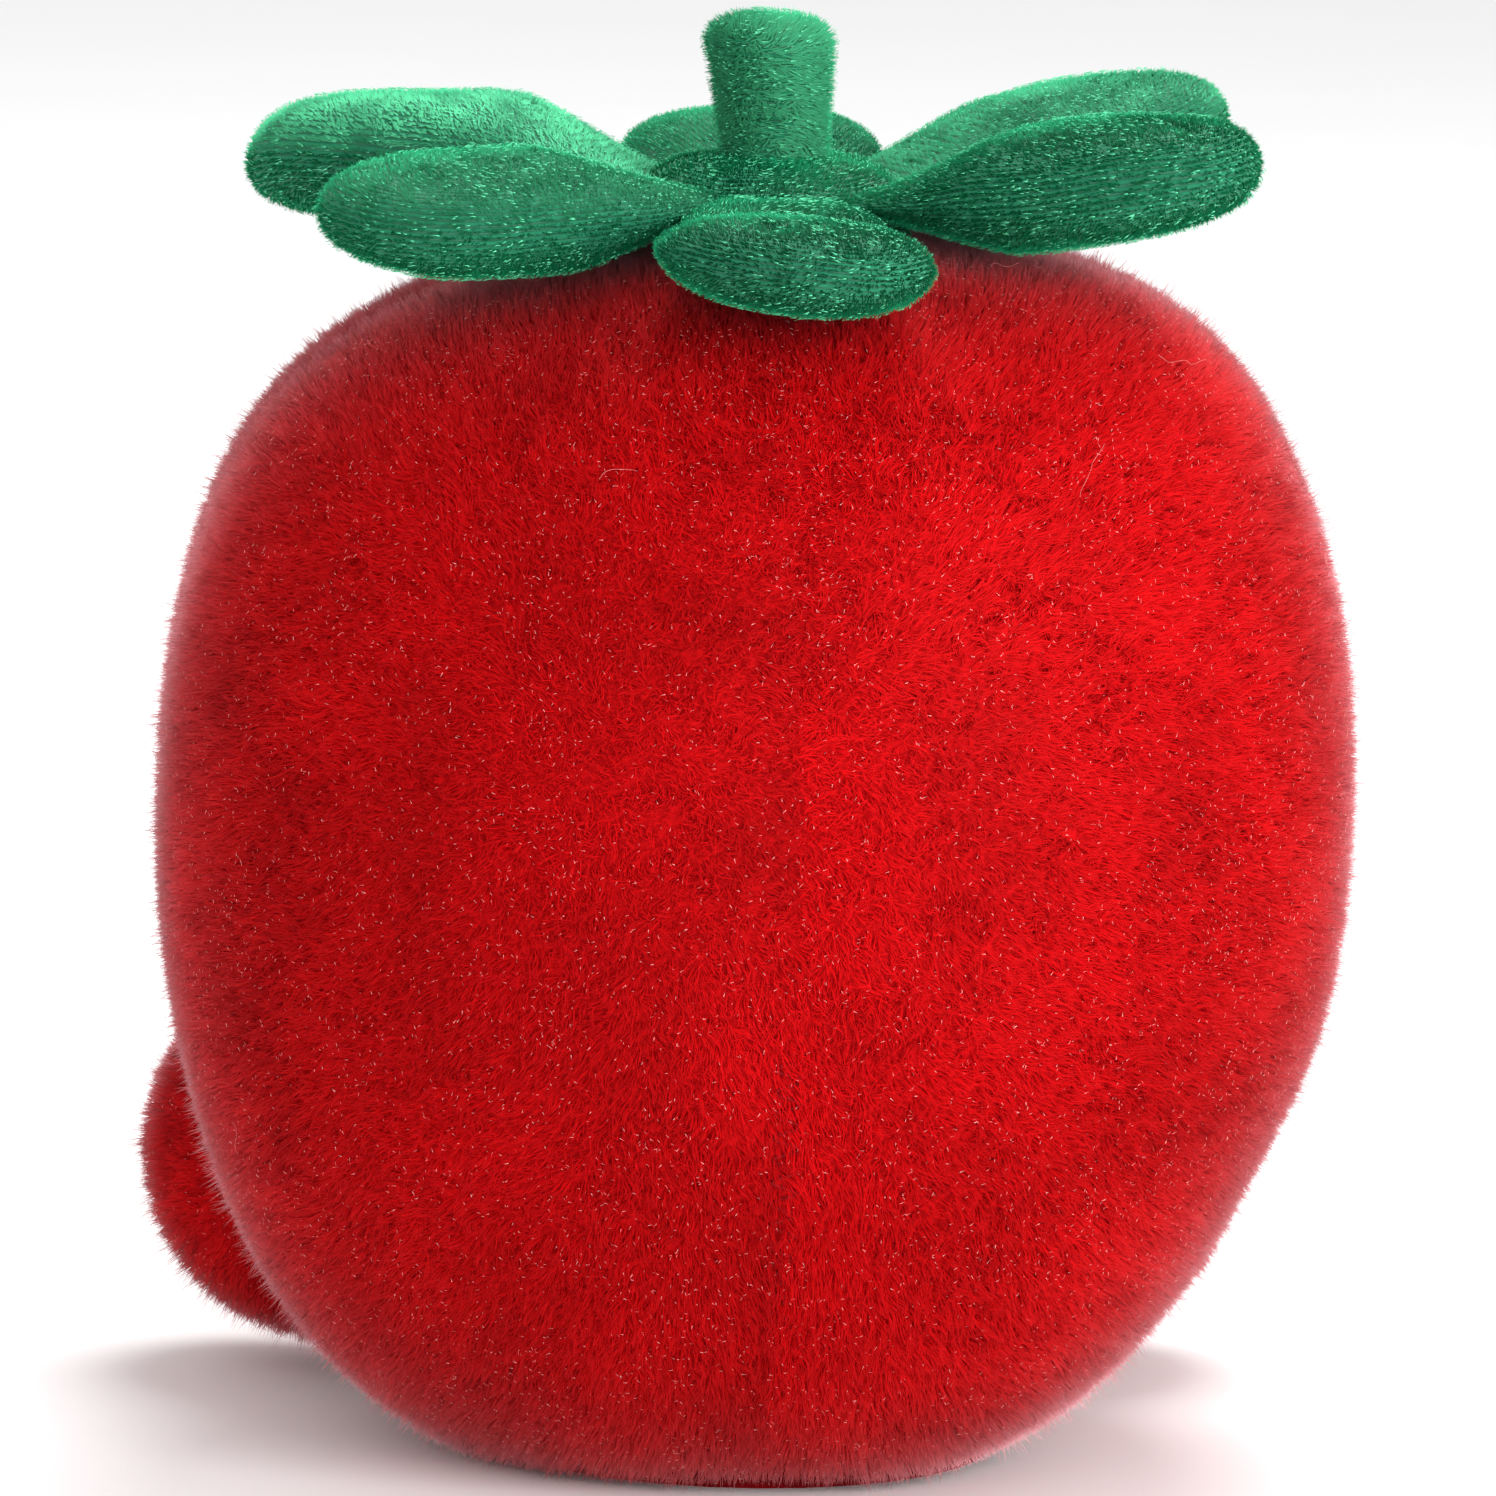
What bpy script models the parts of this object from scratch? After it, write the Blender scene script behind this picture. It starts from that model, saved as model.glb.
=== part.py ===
"""Stuffed toy tomato that sits on a pellet-weighted base, about 127 mm tall with its pile.

Four plush gores and a flat base panel hold loose stuffing and a pellet pouch. Six padded leaves
and a stem stand on top, and two stub feet stick out at the front. The centre seam of the back
faces -Y, +Z is up, and the origin is on the ground under the middle of the body.
"""

import math

import bmesh
import bpy
from mathutils import Matrix, Vector

MM = 0.001
GAP = 0.3 * MM

# Body, four gores of a squarish ball with its lower end cut flat
BODY_WIDTH = 102.6 * MM
BODY_DEPTH = 96.0 * MM
BODY_TOP = 104.5 * MM
EQUATOR_Z = 56.0 * MM
BOTTOM_CUT = 3.5 * MM  # how far the lower curve would pass below the ground
TOP_POWER = 2.55  # 2 is an ellipse, more is squarer
BOTTOM_POWER = 2.45
SEAM_DEPTH = 0.018  # share of the radius that a seam draws in
SEAM_SPREAD = math.radians(9)
PLUSH = 3.2 * MM  # backing cloth and pile together
TOP_HOLE_RADIUS = 4.0 * MM
GORE_COLUMNS = 8
GORE_ROWS = 13

# Base panel, pellet pouch and stuffing
BASE_THICKNESS = 2.4 * MM
POUCH_CENTRE_Z = 17.0 * MM
POUCH_RADIUS = 27.0 * MM
POUCH_HALF_HEIGHT = 14.0 * MM
POUCH_CLOTH = 0.8 * MM

# Calyx centre, a small cushion that the leaves and the stem are sewn to
CENTRE_RADIUS = 9.4 * MM
CENTRE_BOTTOM = 104.9 * MM
LEAF_PLANE_Z = 109.3 * MM
CENTRE_TOP = 111.4 * MM
VELOUR = 1.2 * MM

# Leaves: name, direction in the plan and rise of the tip, both in degrees
LEAVES = (
    ("leaf_back", -90, -1),
    ("leaf_back_right", -30, 8),
    ("leaf_front_right", 28, 8),
    ("leaf_front", 90, -2),
    ("leaf_front_left", 157, 3),
    ("leaf_back_left", 212, 0),
)
LEAF_ROOT_RADIUS = 10.6 * MM
LEAF_LENGTH = 35.0 * MM
LEAF_HALF_WIDTH = 12.0 * MM
LEAF_ROOT_HALF_WIDTH = 4.2 * MM
LEAF_HALF_THICKNESS = 4.9 * MM
LEAF_EDGE = 1.05 * MM  # half the thickness at the sewn edge
LEAF_MIDDLE = 0.58  # the fullest point, as a share of the length
LEAF_TAPER = 1.25  # above 1 the leaf is widest past the middle of its length
LEAF_SEAM_SHARE = 0.88  # the layers lie flat on each other outside this share
LEAF_SIDE_POINTS = 7

# Stem
STEM_PIVOT_Z = 111.4 * MM
STEM_FOOT_Z = 113.3 * MM
STEM_TOP = 125.0 * MM
STEM_BASE_RADIUS = 4.7 * MM
STEM_TOP_RADIUS = 5.5 * MM
STEM_CLOTH = 1.0 * MM
CAP_THICKNESS = 1.3 * MM

# Feet, egg-shaped stubs sewn low on the front gores
FEET = (("foot_right", 48), ("foot_left", 139))
FOOT_ROOT_Z = 14.0 * MM
FOOT_CENTRE_Z = 16.0 * MM
FOOT_CENTRE_RADIUS = 47.5 * MM
FOOT_HALF_LENGTH = 17.5 * MM
FOOT_HALF_WIDTH = 13.5 * MM
FOOT_HALF_HEIGHT = 14.5 * MM
FOOT_PLUSH = 2.4 * MM
FOOT_FLEX = (-8, 0, 4, 9, 14)  # degrees at which the foot stays clear of the body
FOOT_CLEARANCE = 0.4 * MM
FOOT_BLEND = 4  # how sharply the egg gives way to the side that faces the body
FOOT_ROWS = 8
FOOT_COLUMNS = 18
SOLE_ANGLE = math.radians(41)

# Threads
THREAD_RADIUS = 0.3 * MM
CLOSING_LOW = 15.0 * MM
CLOSING_HIGH = 38.0 * MM
CLOSING_STITCHES = 4
CALYX_STITCHES = 10
CALYX_THREAD_RADIUS = 7.2 * MM
GATHER_RADIUS = 2.6 * MM
GATHER_Z = 103.0 * MM

ROUND = 24  # points in a turned ring
DEPTH_SHARE = BODY_DEPTH / BODY_WIDTH


def clear_scene():
    for old in list(bpy.data.objects):
        bpy.data.objects.remove(old, do_unlink=True)


def make_material(name, colour, roughness):
    material = bpy.data.materials.new(name)
    material.use_nodes = True
    shader = material.node_tree.nodes["Principled BSDF"]
    shader.inputs["Base Color"].default_value = (*colour, 1.0)
    shader.inputs["Roughness"].default_value = roughness
    shader.inputs["Metallic"].default_value = 0.0
    return material


def make_empty(name, matrix):
    """Guide on a joint's axis, which carries the pieces that move with it."""
    guide = bpy.data.objects.new(name, None)
    bpy.context.collection.objects.link(guide)
    guide.empty_display_size = 5 * MM
    guide.matrix_world = matrix
    return guide


def add_object(name, bm, material, parent=None):
    mesh = bpy.data.meshes.new(name)
    bmesh.ops.recalc_face_normals(bm, faces=bm.faces)
    bm.to_mesh(mesh)
    bm.free()
    mesh.materials.append(material)
    mesh.shade_smooth()
    mesh.set_sharp_from_angle(angle=math.radians(40))
    item = bpy.data.objects.new(name, mesh)
    bpy.context.collection.objects.link(item)
    item.parent = parent
    return item


def loft(rings, start_pole=None, end_pole=None, wrap=False):
    """Closed skin through rings of points that all go round the same way."""
    bm = bmesh.new()
    loops = [[bm.verts.new(point) for point in ring] for ring in rings]
    pairs = list(zip(loops, loops[1:]))
    if wrap:
        pairs.append((loops[-1], loops[0]))
    for low, high in pairs:
        for i in range(len(low)):
            j = (i + 1) % len(low)
            bm.faces.new((low[i], low[j], high[j], high[i]))
    for pole, loop in ((start_pole, loops[0]), (end_pole, loops[-1])):
        if pole is None:
            continue
        tip = bm.verts.new(pole)
        for i in range(len(loop)):
            bm.faces.new((tip, loop[i], loop[(i + 1) % len(loop)]))
    return bm


def patch_shell(outer, inner):
    """Closed shell between two grids of points of the same size."""
    bm = bmesh.new()
    grids = [[[bm.verts.new(point) for point in row] for row in grid] for grid in (outer, inner)]
    for grid in grids:
        for row, following in zip(grid, grid[1:]):
            for i in range(len(row) - 1):
                bm.faces.new((row[i], row[i + 1], following[i + 1], following[i]))
    rims = []
    for grid in grids:
        side_out = [row[-1] for row in grid[1:-1]]
        side_back = [row[0] for row in reversed(grid[1:-1])]
        rims.append(grid[0] + side_out + grid[-1][::-1] + side_back)
    for i in range(len(rims[0])):
        j = (i + 1) % len(rims[0])
        bm.faces.new((rims[0][i], rims[0][j], rims[1][j], rims[1][i]))
    return bm


def ring(radius, z, count=ROUND, depth_share=1.0):
    """Level ring of points, narrower from front to back where depth_share is below 1."""
    points = []
    for i in range(count):
        angle = 2 * math.pi * i / count
        points.append(Vector((radius * math.cos(angle), depth_share * radius * math.sin(angle), z)))
    return points


def turned(profile, start_pole=None, end_pole=None, wrap=False, count=ROUND):
    """Body of revolution about Z from (radius, z) pairs, with poles given as heights."""
    start = None if start_pole is None else Vector((0, 0, start_pole))
    end = None if end_pole is None else Vector((0, 0, end_pole))
    return loft([ring(radius, z, count) for radius, z in profile], start, end, wrap)


def add_thread(name, points, material, closed):
    """Round thread along points, as one bevelled curve with filled ends."""
    curve = bpy.data.curves.new(name, "CURVE")
    curve.dimensions = "3D"
    curve.bevel_depth = THREAD_RADIUS
    curve.bevel_resolution = 1
    curve.use_fill_caps = True
    spline = curve.splines.new("POLY")
    spline.points.add(len(points) - 1)
    for target, point in zip(spline.points, points):
        target.co = (*point, 1.0)
    spline.use_cyclic_u = closed
    curve.materials.append(material)
    item = bpy.data.objects.new(name, curve)
    bpy.context.collection.objects.link(item)
    return item


# ---------------------------------------------------------------- body


def body_half(above):
    """Height of the upper or lower half of the ball, and how square it is."""
    if above:
        return BODY_TOP - EQUATOR_Z, TOP_POWER
    return EQUATOR_Z + BOTTOM_CUT, BOTTOM_POWER


def body_radius(z):
    """Half the body's width at height z."""
    height, power = body_half(z >= EQUATOR_Z)
    share = min(1.0, abs(z - EQUATOR_Z) / height)
    return BODY_WIDTH / 2 * (1.0 - share**power) ** (1.0 / power)


def seam_pull(angle):
    """Factor on the radius, least at the four seams between the gores."""
    quarter = math.pi / 2
    to_seam = abs((angle + quarter / 2) % quarter - quarter / 2)
    return 1.0 - SEAM_DEPTH * math.exp(-((to_seam / SEAM_SPREAD) ** 2))


def skin_point(angle, rise):
    """Point on the outer skin. Rise runs from -pi/2 at the bottom to pi/2 at the top."""
    height, power = body_half(rise >= 0)
    radius = BODY_WIDTH / 2 * math.cos(rise) ** (2 / power) * seam_pull(angle)
    z = EQUATOR_Z + math.copysign(height * abs(math.sin(rise)) ** (2 / power), rise)
    return Vector((radius * math.cos(angle), DEPTH_SHARE * radius * math.sin(angle), z))


def skin_inset(angle, rise, depth):
    """Point at a depth below the outer skin, along the skin's normal."""
    step = 1e-3
    across = skin_point(angle + step, rise) - skin_point(angle - step, rise)
    upward = skin_point(angle, rise + step) - skin_point(angle, rise - step)
    return skin_point(angle, rise) - across.cross(upward).normalized() * depth


def rise_at_ground():
    height, power = body_half(False)
    return -math.asin((EQUATOR_Z / height) ** (power / 2))


def rise_at_hole():
    share = TOP_HOLE_RADIUS / (BODY_WIDTH / 2)
    return math.acos(share ** (TOP_POWER / 2))


def add_gores(plush):
    """Four quarter shells, each moved off both of its seam planes by half a gap."""
    names = ("body_front_right", "body_front_left", "body_back_left", "body_back_right")
    low = rise_at_ground()
    high = rise_at_hole()
    for quarter, name in enumerate(names):
        middle = math.pi / 2 * (quarter + 0.5)
        across_x = math.copysign(GAP / 2, math.cos(middle))
        across_y = math.copysign(GAP / 2, math.sin(middle))
        shift = Vector((across_x, across_y, 0))
        outer = []
        inner = []
        for row in range(GORE_ROWS + 1):
            rise = low + (high - low) * row / GORE_ROWS
            angles = [math.pi / 2 * (quarter + i / GORE_COLUMNS) for i in range(GORE_COLUMNS + 1)]
            outer.append([skin_point(angle, rise) + shift for angle in angles])
            inner.append([skin_inset(angle, rise, PLUSH) + shift for angle in angles])
        # The inner side stays off the seam planes too, where the normals of a crease lean across them.
        for row in inner:
            for point in row:
                point.x = math.copysign(max(abs(point.x), GAP / 2), shift.x)
                point.y = math.copysign(max(abs(point.y), GAP / 2), shift.y)
        add_object(name, patch_shell(outer, inner), plush)


def add_base_panel(plush):
    """Flat oval under the body, inside the gores' lower edges and slanted as they are."""
    margin = 2 * GAP
    low = ring(skin_point(0.0, rise_at_ground()).x - margin, 0.0, GORE_COLUMNS * 4, DEPTH_SHARE)
    inner_edge = skin_inset(0.0, rise_at_ground(), PLUSH).x - margin
    high = ring(inner_edge, BASE_THICKNESS, GORE_COLUMNS * 4, DEPTH_SHARE)
    bm = loft([low, high], Vector((0, 0, 0)), Vector((0, 0, BASE_THICKNESS)))
    add_object("base_panel", bm, plush)


def pouch_ring(latitude, inset):
    radius = (POUCH_RADIUS - inset) * math.cos(latitude)
    z = POUCH_CENTRE_Z + (POUCH_HALF_HEIGHT - inset) * math.sin(latitude)
    return ring(radius, z, ROUND, DEPTH_SHARE)


def pouch_pole(sign, inset):
    return Vector((0, 0, POUCH_CENTRE_Z + sign * (POUCH_HALF_HEIGHT - inset)))


def add_stuffing(wadding):
    """Loose filling that follows the inside of the gores and wraps round the pouch."""
    depth = PLUSH + GAP
    rings = []
    for degrees in (70, 52, 34, 17, 0, -17, -34, -50, -62):
        angles = [2 * math.pi * i / ROUND for i in range(ROUND)]
        rings.append([skin_inset(angle, math.radians(degrees), depth) for angle in angles])
    for degrees in (-50, -25, 0, 30, 60):
        rings.append(pouch_ring(math.radians(degrees), -GAP))
    top = Vector((0, 0, BODY_TOP - depth))
    add_object("body_stuffing", loft(rings, top, pouch_pole(1, -GAP)), wadding)


def add_pouch(cloth, pellets):
    """Two cloth halves sewn round the pellets."""
    for name, sign in (("pellet_pouch_upper", 1), ("pellet_pouch_lower", -1)):
        slit = math.asin(GAP / 2 / POUCH_HALF_HEIGHT)
        latitudes = [sign * value for value in (slit, math.radians(28), math.radians(58))]
        outer = [pouch_ring(latitude, 0.0) for latitude in reversed(latitudes)]
        inner = [pouch_ring(latitude, POUCH_CLOTH) for latitude in latitudes]
        bm = loft(outer + inner, pouch_pole(sign, 0.0), pouch_pole(sign, POUCH_CLOTH))
        add_object(name, bm, cloth)
    inset = POUCH_CLOTH + GAP
    rings = [pouch_ring(math.radians(degrees), inset) for degrees in (-58, -28, 0, 28, 58)]
    bm = loft(rings, pouch_pole(-1, inset), pouch_pole(1, inset))
    add_object("pellet_filling", bm, pellets)


# ---------------------------------------------------------------- calyx and stem


def add_calyx_centre(velour, wadding):
    """Dish, filling and top disc of the small cushion in the middle."""
    dish_height = LEAF_PLANE_Z - GAP / 2 - CENTRE_BOTTOM
    rim_z = CENTRE_BOTTOM + dish_height
    outer = [(0.70, 0.02), (0.92, 0.42), (1.0, 1.0)]
    dish = [(CENTRE_RADIUS * r, CENTRE_BOTTOM + dish_height * z) for r, z in outer]
    hollow = [(r - VELOUR, z + VELOUR * (rim_z - z) / dish_height) for r, z in reversed(dish)]
    bm = turned(dish + hollow, CENTRE_BOTTOM, CENTRE_BOTTOM + VELOUR)
    add_object("calyx_centre_lower", bm, velour)
    filling = [(r - GAP, z + GAP * (rim_z - z) / dish_height) for r, z in hollow]
    bm = turned(filling, rim_z, CENTRE_BOTTOM + VELOUR + GAP)
    add_object("calyx_centre_padding", bm, wadding)
    low = LEAF_PLANE_Z + GAP / 2
    bm = turned([(CENTRE_RADIUS, low), (CENTRE_RADIUS, CENTRE_TOP - 0.5 * MM)], low, CENTRE_TOP)
    add_object("calyx_centre_upper", bm, velour)


def leaf_outline():
    """Edge of a leaf in its own plane: X from the root to the tip, Y across."""
    side = []
    for i in range(LEAF_SIDE_POINTS):
        share = math.sin(math.pi / 2 * i / LEAF_SIDE_POINTS)
        belly = LEAF_HALF_WIDTH * math.sin(math.pi * share**LEAF_TAPER) ** 0.5
        width = math.hypot(belly, LEAF_ROOT_HALF_WIDTH * (1 - share))
        side.append(Vector((LEAF_LENGTH * share, width, 0)))
    tip = Vector((LEAF_LENGTH, 0, 0))
    other = [Vector((point.x, -point.y, 0)) for point in reversed(side)]
    return side + [tip] + other


def leaf_ring(spread, height):
    """The leaf's outline drawn in towards its middle, at a height above its plane."""
    middle = Vector((LEAF_LENGTH * LEAF_MIDDLE, 0, 0))
    points = []
    for point in leaf_outline():
        drawn = middle + (point - middle) * spread
        points.append(Vector((drawn.x, drawn.y, height)))
    return points


def dome(spread, rim, crown):
    """Height of a padded cushion at a share of the way from its middle to its edge."""
    return rim + (crown - rim) * math.sqrt(max(0.0, 1.0 - spread**2))


def add_leaf(name, direction, rise, velour, wadding):
    """Two velour layers sewn at the edge round a padding, on a guide at the leaf's root."""
    turn = Matrix.Rotation(math.radians(direction), 4, "Z")
    tilt = Matrix.Rotation(-math.radians(rise), 4, "Y")
    root = turn @ Matrix.Translation((LEAF_ROOT_RADIUS, 0, LEAF_PLANE_Z)) @ tilt
    guide = make_empty(name + "_root", root)
    middle_x = LEAF_LENGTH * LEAF_MIDDLE
    slit = GAP / 2
    crown_inside = LEAF_HALF_THICKNESS - LEAF_EDGE
    for layer, sign in (("upper", 1), ("lower", -1)):
        outer = []
        for spread in (0.4, 0.72, 0.92, 1.0):
            outer.append(leaf_ring(spread, sign * dome(spread, LEAF_EDGE, LEAF_HALF_THICKNESS)))
        inner = []
        for spread in (1.0, LEAF_SEAM_SHARE, 0.74, 0.42):
            share = min(1.0, spread / LEAF_SEAM_SHARE)
            inner.append(leaf_ring(spread, sign * dome(share, slit, crown_inside)))
        crown = Vector((middle_x, 0, sign * LEAF_HALF_THICKNESS))
        bm = loft(outer + inner, crown, Vector((middle_x, 0, sign * crown_inside)))
        add_object(name + "_" + layer, bm, velour, guide)
    reach = 0.78
    crown_padding = crown_inside - GAP
    shares = (0.42, reach)
    heights = [dome(share / LEAF_SEAM_SHARE, slit, crown_inside) - GAP for share in shares]
    above = [leaf_ring(share, height) for share, height in zip(shares, heights)]
    below = [leaf_ring(share, -height) for share, height in zip(reversed(shares), reversed(heights))]
    poles = [Vector((middle_x, 0, sign * crown_padding)) for sign in (1, -1)]
    add_object(name + "_padding", loft(above + below, poles[0], poles[1]), wadding, guide)


def stem_radius(z):
    share = (z - STEM_FOOT_Z) / (STEM_TOP - STEM_FOOT_Z)
    return STEM_BASE_RADIUS + (STEM_TOP_RADIUS - STEM_BASE_RADIUS) * share**1.5


def add_stem(velour, wadding):
    """Open velour tube, its sewn-on cap and the filling, on a guide at the tube's foot."""
    guide = make_empty("stem_root", Matrix.Translation((0, 0, STEM_PIVOT_Z)))
    tube_top = STEM_TOP - CAP_THICKNESS - GAP
    heights = [STEM_FOOT_Z + (tube_top - STEM_FOOT_Z) * i / 4 for i in range(5)]
    outer = [(stem_radius(z), z - STEM_PIVOT_Z) for z in heights]
    inner = [(r - STEM_CLOTH, z) for r, z in reversed(outer)]
    add_object("stem_tube", turned(outer + inner, wrap=True, count=16), velour, guide)
    filling = [(r - GAP, z - GAP * (z > outer[-2][1])) for r, z in inner]
    low = STEM_FOOT_Z - STEM_PIVOT_Z - 1.4 * MM
    bm = turned(filling, filling[0][1], low, count=16)
    add_object("stem_stuffing", bm, wadding, guide)
    top_radius = stem_radius(tube_top)
    low = STEM_TOP - CAP_THICKNESS - STEM_PIVOT_Z
    crown = STEM_TOP - STEM_PIVOT_Z
    rim = (top_radius - 0.1 * MM, crown - 0.6 * MM)
    rounding = (top_radius - 1.3 * MM, crown - 0.1 * MM)
    profile = [(top_radius, low), rim, rounding]
    add_object("stem_cap", turned(profile, low, crown, count=16), velour, guide)


# ---------------------------------------------------------------- feet


def body_distance(point):
    """Roughly how far a point lies outside the body, level with it."""
    return math.hypot(point.x, point.y / DEPTH_SHARE) - body_radius(point.z)


class Foot:
    """A stub whose skin is an egg, drawn in where it would touch the body while it flexes."""

    def __init__(self, direction):
        angle = math.radians(direction)
        reach = body_radius(FOOT_ROOT_Z) / math.hypot(math.cos(angle), math.sin(angle) / DEPTH_SHARE)
        self.turn = Matrix.Rotation(angle, 4, "Z")
        self.root = self.turn @ Matrix.Translation((reach + GAP, 0, FOOT_ROOT_Z))
        self.centre = Vector((FOOT_CENTRE_RADIUS - reach - GAP, 0, FOOT_CENTRE_Z - FOOT_ROOT_Z))

    def is_clear(self, point):
        for degrees in FOOT_FLEX:
            flexed = Matrix.Rotation(-math.radians(degrees), 4, "Y") @ point
            if body_distance(self.root @ flexed) < FOOT_CLEARANCE:
                return False
        return True

    def clear_reach(self, way):
        """How far from the centre the foot may go along a direction before it meets the body."""
        near = 0.0
        far = 3 * FOOT_HALF_LENGTH
        for _ in range(24):
            middle = (near + far) / 2
            if self.is_clear(self.centre + way * middle):
                near = middle
            else:
                far = middle
        return near

    def skin(self, polar, around, depth=0.0):
        """Point on the skin, or at a depth below it. Polar is measured from the sole's middle."""
        sideways = math.sin(polar)
        way = Vector((math.cos(polar), sideways * math.cos(around), sideways * math.sin(around)))
        shares = (way.x / FOOT_HALF_LENGTH, way.y / FOOT_HALF_WIDTH, way.z / FOOT_HALF_HEIGHT)
        egg = math.hypot(*shares)
        wall = 1.0 / self.clear_reach(way)
        reach = (egg**FOOT_BLEND + wall**FOOT_BLEND) ** (-1.0 / FOOT_BLEND)
        return self.centre + way * (reach - depth)

    def rings(self, polars, depth=0.0):
        turns = [2 * math.pi * i / FOOT_COLUMNS for i in range(FOOT_COLUMNS)]
        return [[self.skin(polar, around, depth) for around in turns] for polar in polars]


def add_foot(name, direction, plush, wadding):
    """Plush cover, its sole and the filling, on a guide at the foot's root."""
    foot = Foot(direction)
    guide = make_empty(name + "_root", foot.root)
    mouth = SOLE_ANGLE + GAP / FOOT_HALF_WIDTH
    cover_polars = [mouth + (math.pi - mouth) * i / FOOT_ROWS for i in range(FOOT_ROWS)]
    outer = foot.rings(reversed(cover_polars))
    inner = foot.rings(cover_polars, FOOT_PLUSH)
    bm = loft(outer + inner, foot.skin(math.pi, 0.0), foot.skin(math.pi, 0.0, FOOT_PLUSH))
    add_object(name + "_cover", bm, plush, guide)
    polars = [SOLE_ANGLE * 0.5, SOLE_ANGLE]
    outer = foot.rings(polars)
    inner = foot.rings(reversed(polars), FOOT_PLUSH)
    bm = loft(outer + inner, foot.skin(0.0, 0.0), foot.skin(0.0, 0.0, FOOT_PLUSH))
    add_object(name + "_sole", bm, plush, guide)
    depth = FOOT_PLUSH + 1.5 * GAP  # flat facets cut a little inside the curve
    polars = [SOLE_ANGLE * 0.5] + cover_polars
    bm = loft(foot.rings(polars, depth), foot.skin(0.0, 0.0, depth), foot.skin(math.pi, 0.0, depth))
    add_object(name + "_stuffing", bm, wadding, guide)


# ---------------------------------------------------------------- threads


def closing_route():
    """Ladder stitch across the lower centre seam of the back, just above the skin."""
    lift = GAP + 2 * THREAD_RADIUS
    half_stitch = 1.2 * MM
    steps = CLOSING_STITCHES * 8
    points = []
    for i in range(steps + 1):
        z = CLOSING_LOW + (CLOSING_HIGH - CLOSING_LOW) * i / steps
        height, power = body_half(False)
        rise = -math.asin(((EQUATOR_Z - z) / height) ** (power / 2))
        sideways = half_stitch * math.sin(2 * math.pi * i / 8)
        angle = -math.pi / 2 + sideways / body_radius(z)
        points.append(skin_inset(angle, rise, -lift))
    return points


def stitch_ring(radius, z, stitches, swing):
    """Closed running stitch in a circle, which swings in and out by a little."""
    steps = stitches * 3
    points = []
    for i in range(steps):
        angle = 2 * math.pi * i / steps
        reach = radius + swing * math.cos(stitches * angle)
        points.append(Vector((reach * math.cos(angle), reach * math.sin(angle), z)))
    return points


def add_threads(red, green):
    add_thread("closing_thread", closing_route(), red, closed=False)
    add_thread("gather_thread", stitch_ring(GATHER_RADIUS, GATHER_Z, 6, 0.0), red, closed=True)
    on_top = CENTRE_TOP + GAP + THREAD_RADIUS
    route = stitch_ring(CALYX_THREAD_RADIUS, on_top, CALYX_STITCHES, 0.3 * MM)
    add_thread("calyx_thread", route, green, closed=True)


def main():
    clear_scene()
    red_plush = make_material("red_plush", (0.50, 0.006, 0.012), 0.85)
    green_velour = make_material("green_velour", (0.02, 0.28, 0.11), 0.6)
    wadding = make_material("white_wadding", (0.85, 0.84, 0.80), 0.95)
    pouch_cloth = make_material("pouch_cloth", (0.72, 0.70, 0.64), 0.9)
    pellets = make_material("pellets", (0.80, 0.80, 0.78), 0.5)
    red_thread = make_material("red_thread", (0.35, 0.01, 0.015), 0.7)
    green_thread = make_material("green_thread", (0.02, 0.20, 0.09), 0.7)

    add_gores(red_plush)
    add_base_panel(red_plush)
    add_stuffing(wadding)
    add_pouch(pouch_cloth, pellets)
    add_calyx_centre(green_velour, wadding)
    for name, direction, rise in LEAVES:
        add_leaf(name, direction, rise, green_velour, wadding)
    add_stem(green_velour, wadding)
    for name, direction in FEET:
        add_foot(name, direction, red_plush, wadding)
    add_threads(red_thread, green_thread)


main()
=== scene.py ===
"""Looks of the plush tomato: sewn body and feet with their pile, velour leaves and stem, studio."""
import math

import bpy
import numpy as np
from mathutils import Matrix, Vector
from mathutils.bvhtree import BVHTree


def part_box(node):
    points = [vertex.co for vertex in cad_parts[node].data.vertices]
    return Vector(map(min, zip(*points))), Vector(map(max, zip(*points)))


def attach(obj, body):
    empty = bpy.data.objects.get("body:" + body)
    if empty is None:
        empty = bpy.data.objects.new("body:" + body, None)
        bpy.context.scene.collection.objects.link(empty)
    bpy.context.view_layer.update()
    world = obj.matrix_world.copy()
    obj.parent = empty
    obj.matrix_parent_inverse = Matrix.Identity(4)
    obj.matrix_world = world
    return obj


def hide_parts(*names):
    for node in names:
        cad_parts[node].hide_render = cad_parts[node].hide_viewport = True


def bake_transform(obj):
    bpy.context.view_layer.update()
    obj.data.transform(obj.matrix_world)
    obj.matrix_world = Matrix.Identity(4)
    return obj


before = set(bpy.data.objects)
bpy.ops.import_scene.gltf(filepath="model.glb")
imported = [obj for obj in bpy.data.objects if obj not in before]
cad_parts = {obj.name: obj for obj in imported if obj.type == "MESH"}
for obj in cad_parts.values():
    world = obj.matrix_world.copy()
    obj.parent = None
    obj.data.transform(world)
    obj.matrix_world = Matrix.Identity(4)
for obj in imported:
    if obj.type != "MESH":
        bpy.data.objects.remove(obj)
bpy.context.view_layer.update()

MM = 0.001
TAU = 2 * math.pi

# Viewpoint, behind the toy, turned and raised a little
CAMERA_TURN = math.radians(-4)
CAMERA_RISE = math.radians(9)
CAMERA_ROLL = math.radians(1.5)
CAMERA_DISTANCE = 1.1
FRAME_HEIGHT = 129.5 * MM
CAMERA_AIM = Vector((-0.9 * MM, 0.0, 61.0 * MM))

# Cloth simulation runs on a copy enlarged to sizes that its solver handles well
SIM_SCALE = 20.0
SIM_FRAMES = 20
CLOTH_STIFFNESS = 30
CLOTH_BENDING = 1.5

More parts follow.
